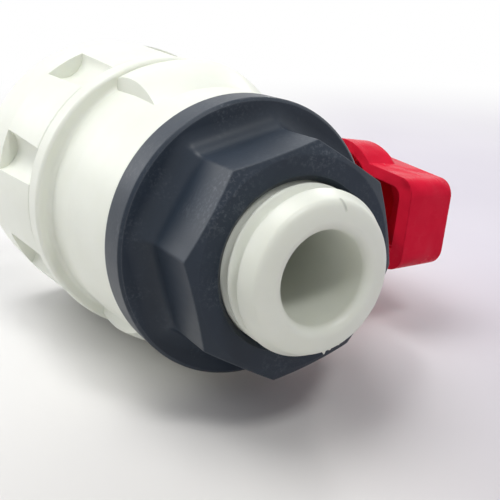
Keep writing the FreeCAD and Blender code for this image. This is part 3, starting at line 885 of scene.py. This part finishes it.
@dataclass(frozen=True)
class BodyDetails:
    """The white body's shell, nose, threads and flash."""

    tank_thread: MouldedThread = MouldedThread("tank_thread_ridges", crest=SPIGOT_RADIUS,
                                               depth=SPIGOT_THREAD_DEPTH, pitch=1.814, start=-17.3, end=0.1,
                                               run_in=0.7, lead_turns=0.25)
    union_thread: MouldedThread = MouldedThread("union_thread_ridges", crest=17.4, depth=1.2, pitch=2.0,
                                                start=23.6, end=38.7, run_in=1.2, flat=0.2)
    shell: BodyShell = BodyShell()
    nose: SpigotNose = SpigotNose()
    flash: NoseFlash = NoseFlash()

    def build(self, finish: bpy.types.Material) -> None:
        """Build the details, give them the body's finish and let them ride on the tap.

        Args:
            finish: the white material.
        """
        for detail in (self.shell, self.nose, self.tank_thread, self.union_thread, self.flash):
            piece = detail.build()
            if detail is self.shell:
                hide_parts(self.shell.node)
            piece.data.materials.append(finish)
            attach(piece, "tap")
            LOG.info("%s with %d points", piece.name, len(piece.data.vertices))


@dataclass(frozen=True)
class PaintedFloorShade:
    """Painted shade that deepens along one direction of the table, from start to end in metres."""

    way: Point
    start: float
    end: float
    glass: Colour


@dataclass(frozen=True)
class Table:
    """Pale table top with painted shade, which turns plain white away from the part, in metres."""

    name: str = "table"
    finish_name: str = "pale_table"
    reach: float = 2.0
    light: Colour = srgb(233, 232, 231)
    dark: Colour = srgb(226, 225, 225)
    roughness: float = 0.55
    cloud_grain: Grain = Grain(14.0)
    cloud_span: Span = (0.3, 0.7)
    painted_shades: tuple[PaintedFloorShade, ...] = (
        # painted shade, darker towards the near side
        PaintedFloorShade((-0.2, -0.98, 0.0), start=-0.04, end=0.06, glass=(0.83, 0.82, 0.8)),
        # painted lilac shadow beside the handle
        PaintedFloorShade((0.86, -0.51, 0.0), start=0.0, end=0.055, glass=(0.8, 0.77, 0.86)),
    )
    fade: Span = (0.127, 0.357)

    def build(self, frame: dict) -> None:
        """Make the table top under the part.
        """
        reach = self.reach
        height = self.height(frame)
        sides = ((-reach, -reach), (reach, -reach), (reach, reach), (-reach, reach))
        mesh = bpy.data.meshes.new(self.name)
        mesh.from_pydata([(*side, height) for side in sides], [], [(0, 1, 2, 3)])
        mesh.transform(table_turn())
        mesh.materials.append(self.finish())
        table = add_object(self.name, mesh)

    def height(self, frame: dict) -> float:
        """Find how low the part reaches in the table's upright frame.


        Returns:
            The table's height.
        """
        upright = np.array(table_turn().to_3x3().inverted())
        lowest = [(mesh_points(item.data) @ upright.T)[:, 2].min() for item in frame["nodes"].values()]
        return float(min(lowest))

    def finish(self) -> bpy.types.Material:
        """Make the table's material.

        Returns:
            A rough white with painted shade, which fades to the plain white background.
        """
        kit = NodeKit.for_material(self.finish_name)
        colour = kit.ramp(kit.noise(self.cloud_grain), self.cloud_span, self.dark, self.light)
        # paint shade onto the table: darker towards the near side, and a lilac painted shadow beside the
        # handle
        for painted_shade in self.painted_shades:
            reach = kit.along(kit.place(), painted_shade.way)
            depth = kit.span(reach, (painted_shade.start, painted_shade.end), curve=Curve.SOFT)
            colour = kit.lay(Blend.GLASS, painted_shade.glass, colour, depth)
        shader = kit.add("ShaderNodeBsdfPrincipled", {"Base Color": colour, "Roughness": self.roughness})
        glow = kit.add("ShaderNodeEmission", {"Color": (1.0, 1.0, 1.0, 1.0), "Strength": 1.0})
        away = kit.add("ShaderNodeVectorMath", {0: kit.place()}, operation="LENGTH").outputs["Value"]
        amount = kit.product(kit.span(away, self.fade, curve=Curve.SOFT), kit.seen())
        kit.finish(kit.fade(amount, shader.outputs["BSDF"], glow.outputs["Emission"]))
        return kit.owner


@dataclass(frozen=True)
class Lamp:
    """Square lamp that faces the part, placed in the table's upright frame, in metres and watts."""

    name: str
    place: Point
    size: float
    power: float
    colour: Colour

    def build(self) -> None:
        """Make the lamp."""
        lamp = bpy.data.lights.new(self.name, "AREA")
        lamp.size = self.size
        lamp.energy = self.power
        lamp.color = self.colour
        aim = (-Vector(self.place)).to_track_quat("-Z", "Y").to_matrix().to_4x4()
        add_object(self.name, lamp).matrix_world = table_turn() @ Matrix.Translation(self.place) @ aim


@dataclass(frozen=True)
class Sky:
    """Even light from all round, which is plain white wherever it is seen."""

    name: str = "even_light"
    colour: Colour = (0.95, 0.95, 1.0)
    strength: float = 0.33

    def build(self) -> None:
        """Make the world."""
        kit = NodeKit.for_world(self.name)
        bpy.context.scene.world = kit.owner
        lit = kit.add("ShaderNodeBackground", {"Color": (*self.colour, 1.0), "Strength": self.strength})
        white = kit.add("ShaderNodeBackground", {"Color": (1.0, 1.0, 1.0, 1.0), "Strength": 1.0})
        kit.finish(kit.fade(kit.seen(), lit.outputs["Background"], white.outputs["Background"]))


@dataclass(frozen=True)
class Camera:
    """Camera where the photograph was taken from, in millimetres in the table's upright frame."""

    name: str = "camera"
    place: Point = (-51.6, -89.87, 33.76)
    azimuth_deg: float = -31.0
    drop_deg: float = 19.34
    lens: float = 56.7
    sensor_width: float = 36.0
    nearest: float = 5.0

    def build(self) -> None:
        """Make the camera and look through it."""
        data = bpy.data.cameras.new(self.name)
        data.lens = self.lens
        data.sensor_width = self.sensor_width
        data.clip_start = self.nearest * MM
        azimuth = Matrix.Rotation(math.radians(self.azimuth_deg), 4, "Z")
        drop = Matrix.Rotation(math.radians(90.0 - self.drop_deg), 4, "X")
        item = add_object(self.name, data)
        item.matrix_world = table_turn() @ Matrix.Translation(Vector(self.place) * MM) @ azimuth @ drop
        bpy.context.scene.camera = item


@dataclass(frozen=True)
class Studio:
    """Table, lamps, sky and camera of the photograph."""

    table: Table = Table()
    lamps: tuple[Lamp, ...] = (
        Lamp("overhead", (-0.10, 0.10, 0.52), size=0.3, power=1.7, colour=(1.0, 1.0, 0.99)),
        Lamp("back", (-0.30, 0.40, 0.28), size=0.3, power=0.85, colour=(1.0, 1.0, 1.0)),
        Lamp("window", (0.30, 0.22, 0.28), size=0.07, power=0.3, colour=(1.0, 0.99, 0.97)),
        Lamp("front", (0.02, -0.30, 0.45), size=0.1, power=0.78, colour=(1.0, 1.0, 0.98)),
    )
    sky: Sky = Sky()
    camera: Camera = Camera()

    def build(self, frame: dict) -> None:
        """Set the studio up round the part.
        """
        self.table.build(frame)
        for lamp in self.lamps:
            lamp.build()
        self.sky.build()
        self.camera.build()


def main() -> None:
    """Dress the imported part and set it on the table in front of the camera."""
    logging.basicConfig(level=logging.INFO, format="%(name)s: %(message)s")
    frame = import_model()
    bpy.context.scene.view_settings.view_transform = "Standard"
    finishes = Finishes()
    finishes.dress(frame)
    BodyDetails().build(finishes.made[Slot.WHITE])
    Studio().build(frame)


if __name__ == "__main__":
    main()
